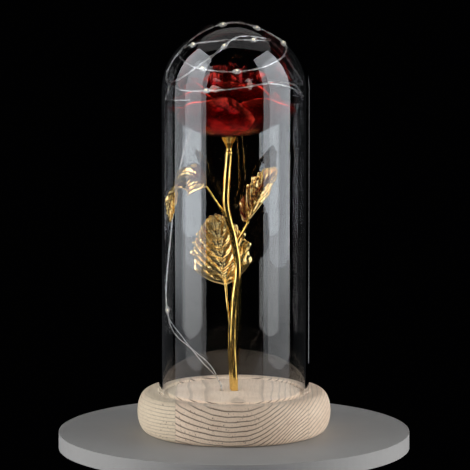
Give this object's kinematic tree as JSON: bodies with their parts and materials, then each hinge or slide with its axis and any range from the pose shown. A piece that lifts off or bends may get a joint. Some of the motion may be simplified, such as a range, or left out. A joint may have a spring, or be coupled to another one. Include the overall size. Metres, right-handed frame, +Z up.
{
  "type": "preserved rose in glass dome",
  "caption": "Foil rose with gilt stem and leaves under a clear round-topped glass dome on a round wooden base, with a loose string of fairy lights inside.",
  "frame": {"origin": "centre of the wooden base's underside", "axes": "+Z up through the dome, -Y the front, where the big gilt leaf faces, +X to the viewer's right"},
  "size_m": [0.1156, 0.1156, 0.25],
  "materials": {
    "pine": "bare sanded pine, satin",
    "clear_glass": "clear polished borosilicate glass",
    "gold_foil": "polished gilt foil",
    "red_foil": "glossy metallised red film",
    "silver_wire": "bright thin twin wire",
    "led_resin": "clear cast resin"
  },
  "bodies": {
    "root": {"wood_base": "pine", "glass_dome": "clear_glass", "main_stem": "gold_foil", "calyx": "gold_foil", "left_leaf_stem": "gold_foil", "left_leaf": "gold_foil", "right_leaf_stem": "gold_foil", "right_leaf": "gold_foil", "front_leaf_stem": "gold_foil", "front_leaf": "gold_foil", "petal_01": "red_foil", "petal_02": "red_foil", "petal_03": "red_foil", "petal_04": "red_foil", "petal_05": "red_foil", "petal_06": "red_foil", "petal_07": "red_foil", "petal_08": "red_foil", "petal_09": "red_foil", "petal_10": "red_foil", "petal_11": "red_foil", "petal_12": "red_foil", "petal_13": "red_foil", "petal_14": "red_foil", "petal_15": "red_foil", "petal_16": "red_foil", "petal_17": "red_foil", "petal_18": "red_foil", "petal_19": "red_foil", "petal_20": "red_foil", "petal_21": "red_foil", "fairy_light_wire": "silver_wire", "led_bead_01": "led_resin", "led_bead_02": "led_resin", "led_bead_03": "led_resin", "led_bead_04": "led_resin", "led_bead_05": "led_resin", "led_bead_06": "led_resin", "led_bead_07": "led_resin", "led_bead_08": "led_resin", "led_bead_09": "led_resin", "led_bead_10": "led_resin"}
  },
  "joints": []
}
